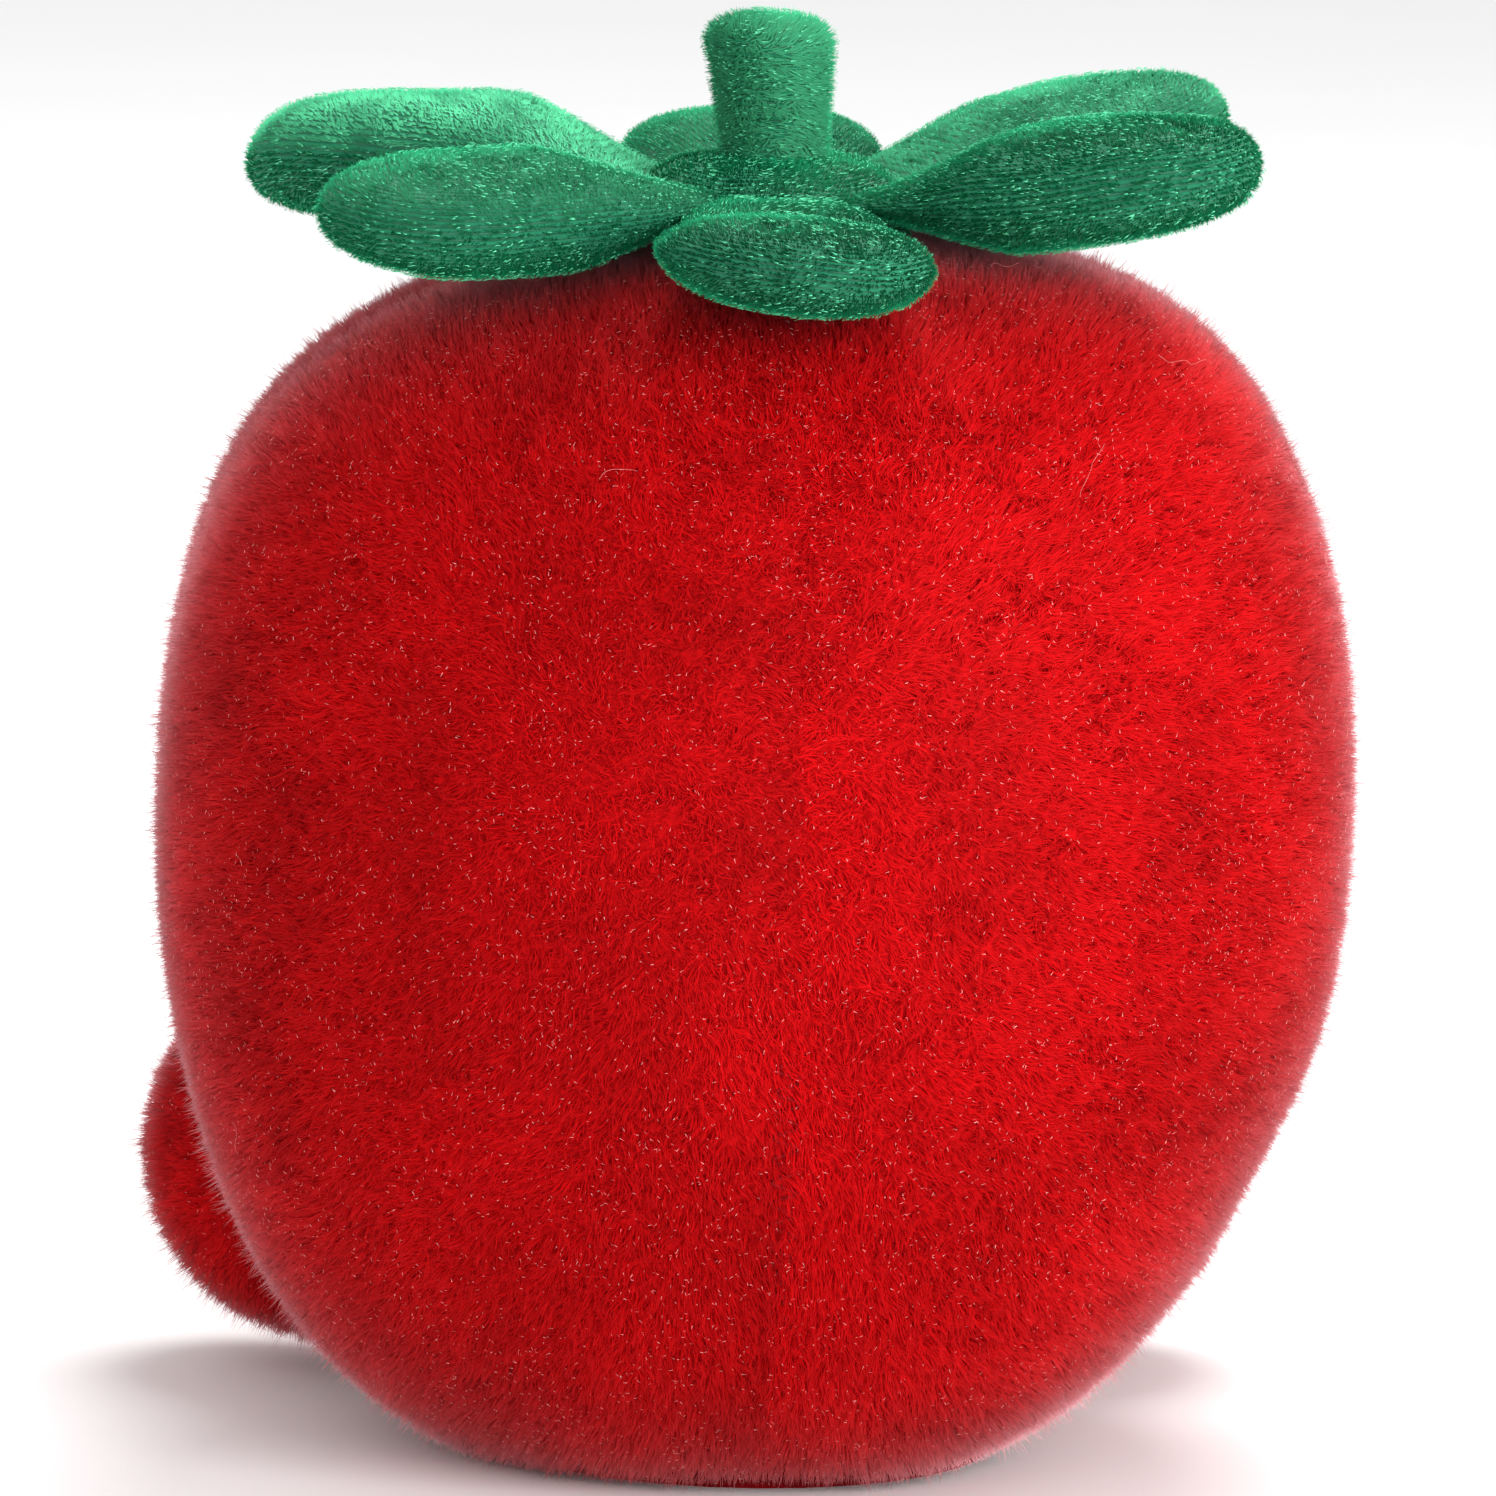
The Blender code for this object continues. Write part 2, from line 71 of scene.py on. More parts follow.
# Body form, close to the solids' squarish ball
HALF_WIDTH = 51.3 * MM
HALF_DEPTH = 48.0 * MM
BODY_TOP = 105.3 * MM
EQUATOR_Z = 56.0 * MM
BOTTOM_CUT = 3.5 * MM
TOP_POWER = 2.72
BOTTOM_POWER = 2.45
SKIN_DEPTH = 0.45 * MM  # before the stuffing swells it
GROUND_GAP = 0.4 * MM
BODY_COLUMNS = 96
BODY_ROWS = 48
BODY_LOWEST = math.radians(-66)  # where the skin meets the base, as an angle from the equator
BODY_HIGHEST = math.radians(86)
SEAM_TUCK = 0.7 * MM  # how deep a seam draws in, over a band of this half width
SEAM_SPREAD = 7 * MM
LUMP_HEIGHT = 0.7 * MM
LUMP_SIZE = 26 * MM

# Hollows: compass angle, height, half spread round the body, half spread in height, depth
# (below zero for a bulge)
HOLLOWS = (
    (-18, 19 * MM, 0.60, 18 * MM, 3.9 * MM),
    (-101, 26 * MM, 0.10, 4 * MM, 0.9 * MM),
    (-92, 20 * MM, 0.12, 6 * MM, 0.8 * MM),
    (-5, 98 * MM, 0.70, 9 * MM, -1.9 * MM),
)
GORES = ("body_back_left", "body_back_right", "body_front_right", "body_front_left")
PILE_SPLITS = (45 * MM, 75 * MM)  # heights that part the pile into pieces of like size

LINT_DENSITY = 550  # stray fibres per square metre
LINT_RADIUS = 0.018 * MM
LINT_POINTS = (7, 16)
LINT_STEP = 0.5 * MM
LINT_TURN = 0.35  # most that a stray fibre bends at each step, in radians
LINT_LIFT = 1.65  # height over the skin and its waver, in mm
LINT_WAVER = 0.25

# Closing stitch in the back seam
STITCH_LOW = 18 * MM
STITCH_RISE = 24 * MM
STITCH_POINTS = 97
STITCH_SWING = 1.1 * MM
STITCH_SINK = 0.15 * MM

FOOT_RINGS = 26
FOOT_COLUMNS = 40
FOOT_SEWN_RINGS = (5, 18)  # rings that stay put while the foot swells
FOOT_POLE = 0.12  # angle between a pole and the first ring
FOOT_FEELERS = (-0.06, 0.0, 0.06)  # angles off each point at which rays feel for the solids
FOOT_DEPTH = 1.0 * MM  # of the skin below the solids' surface
FOOT_HEM = 1.2 * MM  # height above the foot's lowest point from which it is stretched upwards
FOOT_STRETCH = 1.17
FOOT_LIFT = 0.7 * MM

# Leaves: name, direction, rise, sag of the middle, curl of the tip, bank towards one side,
# stretch of the length, plumpness, share of painted sheen on its pile's upward faces
# (below zero, painted shade that darkens the whole pile)
LEAVES = (
    ("leaf_back", -90, -6, 2.6, 1.6, -7, 1.0, 0.80, -0.45),
    ("leaf_back_right", -30, 9, 0.0, 0.2, 4, 1.0, 0.97, -0.2),
    ("leaf_front_right", 28, 9, 0.0, 0.0, -6, 1.0, 1.0, 0.4),
    ("leaf_front", 90, -2, 0.0, -1.0, 0, 1.0, 1.0, 0.2),
    ("leaf_front_left", 157, 7, -0.6, -4.4, 14, 1.06, 1.1, 1.0),
    ("leaf_back_left", 212, 0, 0.0, -0.6, -4, 1.0, 0.92, 0.16),
)
LEAF_ROOT_RADIUS = 10.6 * MM
LEAF_PLANE_Z = 109.3 * MM
LEAF_LENGTH = 34.2 * MM
LEAF_HALF_WIDTH = 11.3 * MM
LEAF_ROOT_HALF_WIDTH = 5.4 * MM
LEAF_HALF_THICKNESS = 4.3 * MM
LEAF_TAPER = 1.45
LEAF_MIDDLE = 0.62
LEAF_TUCK = 3.6 * MM  # how far the root reaches in under the centre
LEAF_THIN_REACH = 17 * MM  # along which the root thickens to full
LEAF_GROOVE = 0.42  # share of the length at which the top sags most
LEAF_GROOVE_SPREAD = 0.2
LEAF_WOBBLE = 0.35 * MM

# Calyx centre: share of its radius and height in mm, from the top's middle to the bottom's
CENTRE_PROFILE = (
    (0.12, 112.4),
    (0.35, 112.5),
    (0.55, 112.3),
    (0.72, 111.8),
    (0.86, 110.9),
    (0.95, 109.5),
    (0.99, 107.8),
    (0.95, 106.4),
    (0.8, 105.5),
    (0.5, 105.2),
    (0.12, 105.1),
)
CENTRE_COLUMNS = 72
CENTRE_RADIUS = 11.4
CENTRE_LOBE = 1.2  # added to the radius towards each leaf
CENTRE_STRETCH = 0.16  # added backwards, as a share of the radius
CENTRE_RIM = 109.5
CENTRE_DIP = 1.1 * MM  # how far the top's edge dips between leaves

STEM_PIVOT_Z = 111.4 * MM
STEM_TOP = 124.2 * MM
STEM_COLUMNS = 36
STEM_SIDE_ROWS = 18
STEM_CAP = ((4.85, 0.85), (4.1, 0.3), (2.6, 0.0), (0.8, -0.1))  # radius and drop below the top, in mm
STEM_PILE_LENGTH = 1.05 * MM
STEM_SHEEN = 0.27  # share of painted sheen in its pile, lightening it all over

ROW_PITCH = 0.55 * MM  # rows of the velour's knit
ROW_CREST = 0.3  # half width of the crest that carries pile, as a share of the pitch
TUFTING = 0.35 * 0.3  # how far the tips gather into tufts, as a share of their length
PALE_BANDS = 8  # levels of pale share that a bake tells apart


class Drift:
    """Smooth seeded noise in space, a vector with parts between -1 and 1 for each point."""

    SIZE = 32

    def __init__(self, seed):
        self.grid = np.random.default_rng(seed).uniform(-1, 1, (self.SIZE,) * 3 + (3,))

    def at(self, points, wavelength):
        cells = points / wavelength
        low = np.floor(cells).astype(int)
        share = cells - low
        share = share * share * (3 - 2 * share)
        total = np.zeros_like(points)
        for corner in np.ndindex(2, 2, 2):
            weight = np.prod(np.where(corner, share, 1 - share), axis=1)
            i, j, k = ((low + corner) % self.SIZE).T
            total += weight[:, None] * self.grid[i, j, k]
        return total


def unit(vectors):
    return vectors / np.maximum(np.linalg.norm(vectors, axis=-1, keepdims=True), 1e-12)


def across(vectors, normals):
    """Part of the vectors that lies in the surface."""
    return vectors - normals * (vectors * normals).sum(axis=-1, keepdims=True)


def add_object(name, data):
    thing = bpy.data.objects.new(name, data)
    bpy.context.scene.collection.objects.link(thing)
    return thing


# ---------------------------------------------------------------- materials


class Graph:
    """Node tree of one Principled material, with short ways to add and join its nodes."""

    def __init__(self, name, roughness, **values):
        self.material = bpy.data.materials.new(name)
        self.material.use_nodes = True
        self.tree = self.material.node_tree
        self.shader = self.tree.nodes["Principled BSDF"]
        self.put(self.shader.inputs["Roughness"], roughness)
        for socket, value in values.items():
            self.put(self.shader.inputs[socket.replace("_", " ")], value)

    def put(self, socket, value):
        if isinstance(value, bpy.types.NodeSocket):
            self.tree.links.new(value, socket)
        elif socket.type == "RGBA":
            socket.default_value = (*value, 1.0)
        else:
            socket.default_value = value

    def node(self, kind, inputs, **settings):
        node = self.tree.nodes.new("ShaderNode" + kind)
        for setting, value in settings.items():
            setattr(node, setting, value)
        for socket, value in inputs.items():
            self.put(node.inputs[socket], value)
        return node

    def math(self, operation, first, second=0.0, clamp=False):
        inputs = {0: first, 1: second}
        return self.node("Math", inputs, operation=operation, use_clamp=clamp).outputs[0]

    def span(self, value, low, high, start=0.0, end=1.0):
        inputs = {"Value": value, "From Min": low, "From Max": high, "To Min": start, "To Max": end}
        return self.node("MapRange", inputs).outputs["Result"]

    def mix(self, share, first, second, blend="MIX"):
        node = self.node("Mix", {}, data_type="RGBA", blend_type=blend)
        for index, value in ((0, share), (6, first), (7, second)):
            self.put(node.inputs[index], value)
        return node.outputs[2]

    def place(self):
        return self.node("TexCoord", {}).outputs["Object"]

    def noise(self, size, detail=2.0, where=None):
        where = where or self.place()
        inputs = {"Vector": where, "Scale": 1.0 / size, "Detail": detail}
        return self.node("TexNoise", inputs).outputs["Fac"]

    def attribute(self, name):
        vector = self.node("Attribute", {}, attribute_name=name).outputs["Vector"]
        return self.node("SeparateXYZ", {0: vector}).outputs

    def colour(self, value):
        self.put(self.shader.inputs["Base Color"], value)

    def bump(self, height, distance, strength=1.0):
        inputs = {"Height": height, "Distance": distance, "Strength": strength}
        self.put(self.shader.inputs["Normal"], self.node("Bump", inputs).outputs[0])


def make_pile_material(name, root, middle, tip, glint, **values):
    """Fibres coloured from root to tip, darker at the root as painted shade deep in the pile and lighter at
    the tip as painted light. Tone darkens or lightens a whole strand, pale mixes in a painted glint colour.
    """
    graph = Graph(name, 0.62, **values)
    tone, height, pale = graph.attribute("fibre")
    # painted shade darkens the root and painted light lightens the tip
    low = graph.mix(graph.span(height, 0.0, 0.55), root, middle)
    body = graph.mix(graph.span(height, 0.55, 1.0), low, tip)
    shade = graph.node("CombineColor", {}).outputs[0]
    level = graph.span(tone, 0.0, 1.0, 0.55, 1.3)
    for socket in ("Red", "Green", "Blue"):
        graph.put(shade.node.inputs[socket], level)
    toned = graph.mix(1.0, body, shade, "MULTIPLY")
    graph.colour(graph.mix(pale, toned, glint))
    return graph.material


def make_backing_material(name, dark, light):
    """Knitted ground of a pile fabric, seen only between its fibres."""
    graph = Graph(name, 0.9, Specular_IOR_Level=0.1)
    patches = graph.noise(6 * MM)
    fine = graph.noise(0.5 * MM)
    graph.colour(graph.mix(graph.math("MULTIPLY", patches, fine), dark, light))
    graph.bump(fine, 0.3 * MM)
    return graph.material


def make_velour_material():
    """Knit in rows 0.55 mm apart, paler on the crest of each row as painted glints, and lighter where
    patches drift.
    """
    graph = Graph("velour_cloth", 0.55, Sheen_Weight=0.5, Sheen_Roughness=0.35, Sheen_Tint=(0.1, 1.0, 0.5))
    row, along, _ = graph.attribute("knit")
    phase = graph.math("MULTIPLY", row, TAU / ROW_PITCH)
    crest = graph.span(graph.math("SINE", phase), -1.0, 1.0)
    where = graph.node("CombineXYZ", {0: graph.math("MULTIPLY", along, 0.5), 1: row, 2: 0.0}).outputs[0]
    loops = graph.noise(0.35 * MM, 1.0, where)
    broad = graph.noise(7 * MM)
    deep = graph.mix(broad, (0.0, 0.06, 0.025), (0.0, 0.13, 0.06))
    # pale crests: painted glints along the knit rows
    graph.colour(graph.mix(graph.math("MULTIPLY", crest, loops), deep, (0.01, 0.42, 0.2)))
    graph.bump(graph.math("MULTIPLY", crest, loops), 0.25 * MM)
    return graph.material


def make_fibre_material(name, dark, light, size, roughness=0.9):
    """Matted or twisted fibres, for wadding, pouch cloth and thread."""
    graph = Graph(name, roughness, Specular_IOR_Level=0.2)
    stretched = graph.node("Mapping", {"Vector": graph.place(), "Scale": (1.0, 1.0, 3.0)}).outputs[0]
    fibres = graph.noise(size, 4.0, stretched)
    graph.colour(graph.mix(fibres, dark, light))
    graph.bump(fibres, size / 2)
    return graph.material


def make_pellet_material():
    graph = Graph("pellet_beads", 0.4)
    cells = graph.node("TexVoronoi", {"Vector": graph.place(), "Scale": 1 / (2.5 * MM)}).outputs["Distance"]
    graph.colour(graph.mix(cells, (0.80, 0.80, 0.77), (0.45, 0.45, 0.43)))
    graph.bump(graph.math("SUBTRACT", 1.0, cells), 1.0 * MM)
    return graph.material


# ---------------------------------------------------------------- skins


class Skin:
    """Closed or open cloth surface, with each point's row and ring direction for its pile."""

    def __init__(self, points, faces, rows, around):
        self.points = points
        self.faces = faces
        self.rows = rows
        self.around = around
        triangles = []
        for face in faces:
            triangles += [(face[0], face[i], face[i + 1]) for i in range(1, len(face) - 1)]
        self.triangles = np.array(triangles)
        a, b, c = (points[self.triangles[:, i]] for i in range(3))
        cross = np.cross(b - a, c - a)
        self.areas = np.linalg.norm(cross, axis=1) / 2
        normals = np.zeros_like(points)
        for i in range(3):
            np.add.at(normals, self.triangles[:, i], cross)
        self.normals = unit(normals)

    def scatter(self, density, rng):
        """Roots spread evenly over the skin, with the normal, row and ring direction at each."""
        count = int(self.areas.sum() * density)
        chosen = rng.choice(len(self.areas), count, p=self.areas / self.areas.sum())
        u, v = rng.random((2, count))
        flip = u + v > 1
        u[flip], v[flip] = 1 - u[flip], 1 - v[flip]
        weights = np.stack((1 - u - v, u, v), axis=1)[:, :, None]
        corners = self.triangles[chosen]
        fields = (self.points, self.normals, self.around, self.rows[:, None])
        roots, normals, around, rows = [(field[corners] * weights).sum(axis=1) for field in fields]
        return roots, unit(normals), unit(around), rows[:, 0]


def ring_skin(rings, poles=(None, None)):
    """Skin over rings of points, each closed round, with a pole point to close either end."""
    count, columns = rings.shape[:2]
    points = rings.reshape(-1, 3)
    index = np.arange(count * columns).reshape(count, columns)
    low, high = index[:-1], index[1:]
    quads = np.stack((low, np.roll(low, -1, 1), np.roll(high, -1, 1), high), axis=-1)
    faces = [tuple(quad) for quad in quads.reshape(-1, 4).tolist()]
    around = np.roll(rings, -1, 1) - np.roll(rings, 1, 1)
    meridian = np.linalg.norm(np.diff(rings, axis=0), axis=-1).mean(axis=1)
    rows = np.repeat(np.concatenate(([0.0], np.cumsum(meridian))), columns)
    around = around.reshape(-1, 3)
    for pole, ring, turned in ((poles[0], index[0], True), (poles[1], index[-1], False)):
        if pole is None:
            continue
        hub = len(points)
        inwards = np.linalg.norm(points[ring] - pole, axis=1).mean()
        points = np.vstack((points, pole))
        rows = np.append(rows, rows[ring[0]] + (-inwards if turned else inwards))
        around = np.vstack((around, around[ring[0]]))
        for a, b in zip(ring.tolist(), np.roll(ring, -1).tolist()):
            faces.append((b, a, hub) if turned else (a, b, hub))
    return Skin(points, faces, rows, around)


def make_mesh(name, points, faces):
    mesh = bpy.data.meshes.new(name)
    mesh.from_pydata(points.tolist(), [], faces)
    mesh.shade_smooth()
    return mesh


def inflate(skin, held, pressure, cap):
    """The skin after its stuffing's pressure swells it as cloth, its held points sewn in place."""
    scene = bpy.context.scene
    mesh = make_mesh("swelling", skin.points * SIM_SCALE, skin.faces)
    blank = add_object("swelling", mesh)
    sewn = blank.vertex_groups.new(name="sewn")
    sewn.add(np.flatnonzero(held).tolist(), 1.0, "REPLACE")
    cloth = blank.modifiers.new("cloth", "CLOTH")
    cloth.settings.use_pressure = True
    cloth.settings.uniform_pressure_force = pressure
    cloth.settings.vertex_group_mass = "sewn"
    cloth.settings.effector_weights.gravity = 0.0
    cloth.settings.tension_stiffness = CLOTH_STIFFNESS
    cloth.settings.compression_stiffness = CLOTH_STIFFNESS
    cloth.settings.bending_stiffness = CLOTH_BENDING
    cloth.point_cache.frame_end = SIM_FRAMES
    for step in range(1, SIM_FRAMES + 1):
        scene.frame_set(step)
    shaped = blank.evaluated_get(bpy.context.evaluated_depsgraph_get()).data
    moved = np.empty(len(skin.points) * 3)
    shaped.vertices.foreach_get("co", moved)
    shift = moved.reshape(-1, 3) / SIM_SCALE - skin.points
    far = np.linalg.norm(shift, axis=1, keepdims=True)
    shift *= np.minimum(1.0, cap / np.maximum(far, 1e-9))
    bpy.data.objects.remove(blank)
    bpy.data.meshes.remove(mesh)
    scene.frame_set(1)
    return Skin(skin.points + shift, skin.faces, skin.rows, skin.around)


def add_cover(name, skin, material):
    """Object of a skin, which carries its knit coordinates for the material."""
    mesh = make_mesh(name, skin.points, skin.faces)
    along = np.cumsum(np.linalg.norm(skin.around, axis=1)) / 2
    knit = np.stack((skin.rows, along, np.zeros(len(along))), axis=1)
    layer = mesh.attributes.new("knit", "FLOAT_VECTOR", "POINT")
    layer.data.foreach_set("vector", knit.astype(np.float32).ravel())
    mesh.materials.append(material)
    return add_object(name, mesh)


# ---------------------------------------------------------------- pile


class Strands:
    """Tapering fibres: where each starts and ends, its width, tone, skin normal and pale share."""

    def __init__(self, roots, tips, widths, tones, normals, pales):
        self.parts = (roots, tips, widths, tones, normals, pales)

    def where(self, mask):
        return Strands(*[part[mask] for part in self.parts])

    def __add__(self, other):
        return Strands(*[np.concatenate(pair) for pair in zip(self.parts, other.parts)])


def grow(skin, drift, rng, density, length, width, lean, comb, rowed=False):
    """Fibres rooted all over a skin. comb gives the way they lean at each root.

    Rowed fibres stand only on the crests of the knit's rows.
    """
    roots, normals, around, rows = skin.scatter(density, rng)
    if rowed:
        kept = np.abs((rows / ROW_PITCH) % 1.0 - 0.5) < ROW_CREST
        roots, normals, around = roots[kept], normals[kept], around[kept]
    count = len(roots)
    way = unit(across(comb(roots, normals, around), normals))
    stir = drift.at(roots + 5.0, length * 0.4)
    angle = lean * (1 + 0.45 * rng.normal(size=count) + 0.4 * stir[:, 0])
    reach = length * (1 + rng.normal(0, 0.09, count) + 0.08 * stir[:, 1])
    direction = normals * np.cos(angle)[:, None] + way * np.sin(angle)[:, None]
    tips = roots + unit(direction) * reach[:, None]
    tips += across(drift.at(tips, length * 0.35), normals) * length * TUFTING
    tones = 0.5 + 0.22 * drift.at(roots + 3.0, 9 * MM)[:, 0] + 0.1 * stir[:, 2] + rng.normal(0, 0.08, count)
    widths = width * rng.uniform(0.75, 1.25, count)
    return Strands(roots, tips, widths, np.clip(tones, 0, 1), normals, np.zeros(count))


def glint(skin, drift, rng, density, height, length, width, comb, glow):
    """Short fibre ends that lie across the pile at its tips, coloured pale as painted glints where they
    catch the light.
    """
    roots, normals, around, _ = skin.scatter(density, rng)
    patchy = drift.at(roots + 9.0, 5 * MM)[:, 0] > rng.uniform(-1.2, 0.6, len(roots))
    roots, normals, around = roots[patchy], normals[patchy], around[patchy]
    count = len(roots)
    way = unit(across(comb(roots, normals, around), normals))
    starts = roots + normals * (height * rng.uniform(0.86, 1.03, count))[:, None]
    direction = unit(way + normals * rng.uniform(-0.1, 0.45, count)[:, None])
    tips = starts + direction * (length * rng.uniform(0.5, 1.3, count))[:, None]
    widths = width * rng.uniform(0.45, 1.35, count)
    # share of the painted glint colour on each fibre end
    pales = rng.uniform(*glow, count)
    return Strands(starts, tips, widths, rng.uniform(0.4, 1, count), normals, pales)


def add_pile(name, strands, material, softness, seed):
    """One object of closed three-sided spikes, shaded partly as the skin below them."""
    roots, tips, widths, tones, normals, pales = strands.parts
    for ends in (roots, tips):
        ends[:, 2] = np.maximum(ends[:, 2], GROUND_GAP / 2)
    count = len(roots)
    rng = np.random.default_rng(seed)
    along = unit(tips - roots)
    side = unit(np.cross(along, rng.normal(size=(count, 3))))
    other = np.cross(along, side)
    turns = TAU * np.arange(3)[None, :, None] / 3
    spokes = side[:, None] * np.cos(turns) + other[:, None] * np.sin(turns)
    ring = roots[:, None] + spokes * widths[:, None, None] / 2
    points = np.concatenate((ring, tips[:, None]), axis=1).reshape(-1, 3)
    corners = np.arange(count)[:, None, None] * 4 + np.array([[0, 1, 3], [1, 2, 3], [2, 0, 3]])
    loops = corners.reshape(-1).astype(np.int32)
    mesh = bpy.data.meshes.new(name)
    mesh.vertices.add(len(points))
    mesh.vertices.foreach_set("co", points.astype(np.float32).ravel())
    mesh.loops.add(len(loops))
    mesh.loops.foreach_set("vertex_index", loops)
    mesh.polygons.add(count * 3)
    mesh.polygons.foreach_set("loop_start", np.arange(0, len(loops), 3, dtype=np.int32))
    mesh.polygons.foreach_set("use_smooth", np.ones(count * 3, dtype=bool))
    mesh.update(calc_edges=True)

    height = np.tile((0.0, 0.0, 0.0, 1.0), count)
    tone = np.repeat(tones, 4)
    pale = np.repeat(pales, 4)
    layer = mesh.attributes.new("fibre", "FLOAT_VECTOR", "POINT")
    layer.data.foreach_set("vector", np.stack((tone, height, pale), axis=1).astype(np.float32).ravel())
    # A bake only needs a place for each tone, height and pale share, so like strands share it
    shift = np.tile((-0.012, 0.012, 0.0, 0.0), count)
    band = np.round(pale * (PALE_BANDS - 1))
    flat = np.stack((0.03 + 0.94 * tone + shift, (band + 0.1 + 0.8 * height) / PALE_BANDS), axis=1)
    bake_map = mesh.uv_layers.new(name="OFBake")
    bake_map.data.foreach_set("uv", flat[loops].astype(np.float32).ravel())
    outward = np.concatenate((spokes, along[:, None]), axis=1)
    shading = unit(outward * (1 - softness) + normals[:, None] * softness).reshape(-1, 3)
    mesh.normals_split_custom_set_from_vertices(shading.tolist())
    mesh.materials.append(material)
    return add_object(name, mesh)


# ---------------------------------------------------------------- red plush


class RedPlush:
    """The body's and feet's fabric: backing, dense upright pile and pale flecks that are painted glints."""

    LENGTH = 1.75 * MM
    WIDTH = 0.14 * MM
    DENSITY = 15.5e6  # strands per square metre
    LEAN = math.radians(26)
    GUARDS = 1.6e6  # longer fibres, most of them dropped between tufts
    GLINTS = 1.1e6
    SOFTNESS = 0.88

    def __init__(self):
        self.drift = Drift(7)
        self.backing = make_backing_material("plush_backing", (0.42, 0.001, 0.003), (0.74, 0.003, 0.005))
        # root darkened as painted shade deep in the pile, tip lightened as painted light; the pale pink last
        # colour is a painted glint
        self.pile = make_pile_material(
            "plush_pile",
            (0.52, 0.0008, 0.002),
            (0.66, 0.0016, 0.0035),
            (0.76, 0.008, 0.011),
            (0.95, 0.42, 0.40),
            Specular_IOR_Level=0.05,
            Sheen_Weight=1.0,
            Sheen_Roughness=0.3,
            Sheen_Tint=(1.0, 0.52, 0.56),
        )

    def comb(self, roots, normals, around):
        """Slightly downwards, stirred by broad swirls and by tufts."""
        swirl = self.drift.at(roots, 24 * MM) * 0.5 + self.drift.at(roots + 1.0, 6 * MM) * 0.5
        tufts = self.drift.at(roots + 2.0, 1.1 * MM) * 1.2 + self.drift.at(roots + 4.0, 0.35 * MM) * 1.2
        return np.array([0.0, 0.0, -0.3]) + swirl + tufts

    def any_way(self, roots, normals, around):
        return self.drift.at(roots, 0.04 * MM)

    def strands(self, skin, seed):
        rng = np.random.default_rng(seed)
        fur = grow(skin, self.drift, rng, self.DENSITY, self.LENGTH, self.WIDTH, self.LEAN, self.comb)
        level = self.LENGTH * math.cos(self.LEAN)
        glow = (0.25, 1.0)
        pale = glint(skin, self.drift, rng, self.GLINTS, level, 0.34 * MM, 0.055 * MM, self.any_way, glow)
        tall = self.LENGTH * 1.6
        guard = grow(skin, self.drift, rng, self.GUARDS, tall, 0.11 * MM, 0.3, self.comb)
        tufted = self.drift.at(guard.parts[0] + 6.0, 1.5 * MM)[:, 0] > 0.05
        return fur + guard.where(tufted) + pale

    def shade_nap(self, strands):
        """Darker to the left of each upright seam and lighter to its right: painted shade and painted light
        standing in for how the turned nap takes the light.
        """
        roots, tones = strands.parts[0], strands.parts[3]
        for seam in np.arange(4) * math.pi / 2:
            across_seam = roots[:, 1] * math.cos(seam) - roots[:, 0] * math.sin(seam)
            facing = roots[:, 0] * math.cos(seam) + roots[:, 1] * math.sin(seam) > 0
            side = across_seam / (9 * MM)
            broken = 0.5 + 0.7 * self.drift.at(roots + 8.0, 16 * MM)[:, 0]
            tones += facing * 0.17 * broken * np.sign(side) * np.exp(-np.abs(side))
        np.clip(tones, 0, 1, out=tones)


def body_surface(angle, rise, depth):
    """Points of the body's form at a depth below the solids' surface, before seams and lumps."""
    above = rise >= 0
    power = np.where(above, TOP_POWER, BOTTOM_POWER)
    height = np.where(above, BODY_TOP - EQUATOR_Z, EQUATOR_Z + BOTTOM_CUT) - depth
    level = np.cos(rise) ** (2 / power)
    z = EQUATOR_Z + np.sign(rise) * height * np.abs(np.sin(rise)) ** (2 / power)
    x = (HALF_WIDTH - depth) * level * np.cos(angle)
    y = (HALF_DEPTH - depth) * level * np.sin(angle)
    return np.stack((x, y, z), axis=-1)


def body_skin():
    """Four gores from the base seam to the gathered top, swollen between their seams."""
    angle = -math.pi / 2 + TAU * np.arange(BODY_COLUMNS) / BODY_COLUMNS
    rise = np.linspace(BODY_LOWEST, BODY_HIGHEST, BODY_ROWS)
    angles, rises = np.meshgrid(angle, rise)
    points = body_surface(angles, rises, SKIN_DEPTH)
    quarter = math.pi / 2
    off_seam = np.abs((angles + quarter / 2) % quarter - quarter / 2)
    away = off_seam * np.hypot(points[..., 0], points[..., 1])
    tuck = SEAM_TUCK * np.exp(-((away / SEAM_SPREAD) ** 2))
    flat = points.reshape(-1, 3)
    outward = unit(flat - np.array([0, 0, EQUATOR_Z]))
    lumps = Drift(3).at(flat, LUMP_SIZE)[:, 0] * LUMP_HEIGHT
    swell = lumps - tuck.ravel()
    for compass, height, spread, tall, depth in HOLLOWS:
        turned = (angles - math.radians(compass) + math.pi) % TAU - math.pi
        near = np.exp(-((turned / spread) ** 2) - ((points[..., 2] - height) / tall) ** 2)
        swell -= depth * near.ravel()
    rings = (flat + outward * swell[:, None]).reshape(points.shape)
    skin = ring_skin(rings)
    row = np.arange(len(skin.points)) // BODY_COLUMNS
    column = np.arange(len(skin.points)) % BODY_COLUMNS
    on_seam = column % (BODY_COLUMNS // 4) == 0
    held = on_seam | (row == 0) | (row >= BODY_ROWS - 2)
    skin = inflate(skin, held, pressure=4.0, cap=1.3 * MM)
    skin.points[:, 2] = np.maximum(skin.points[:, 2], GROUND_GAP)
    return skin


def make_thread_curve(name, radius, material):
    curve = bpy.data.curves.new(name, "CURVE")
    curve.dimensions = "3D"
    curve.bevel_depth = radius
    curve.materials.append(material)
    return curve


def skin_tree(skin):
    return BVHTree.FromPolygons([Vector(point) for point in skin.points], skin.faces)


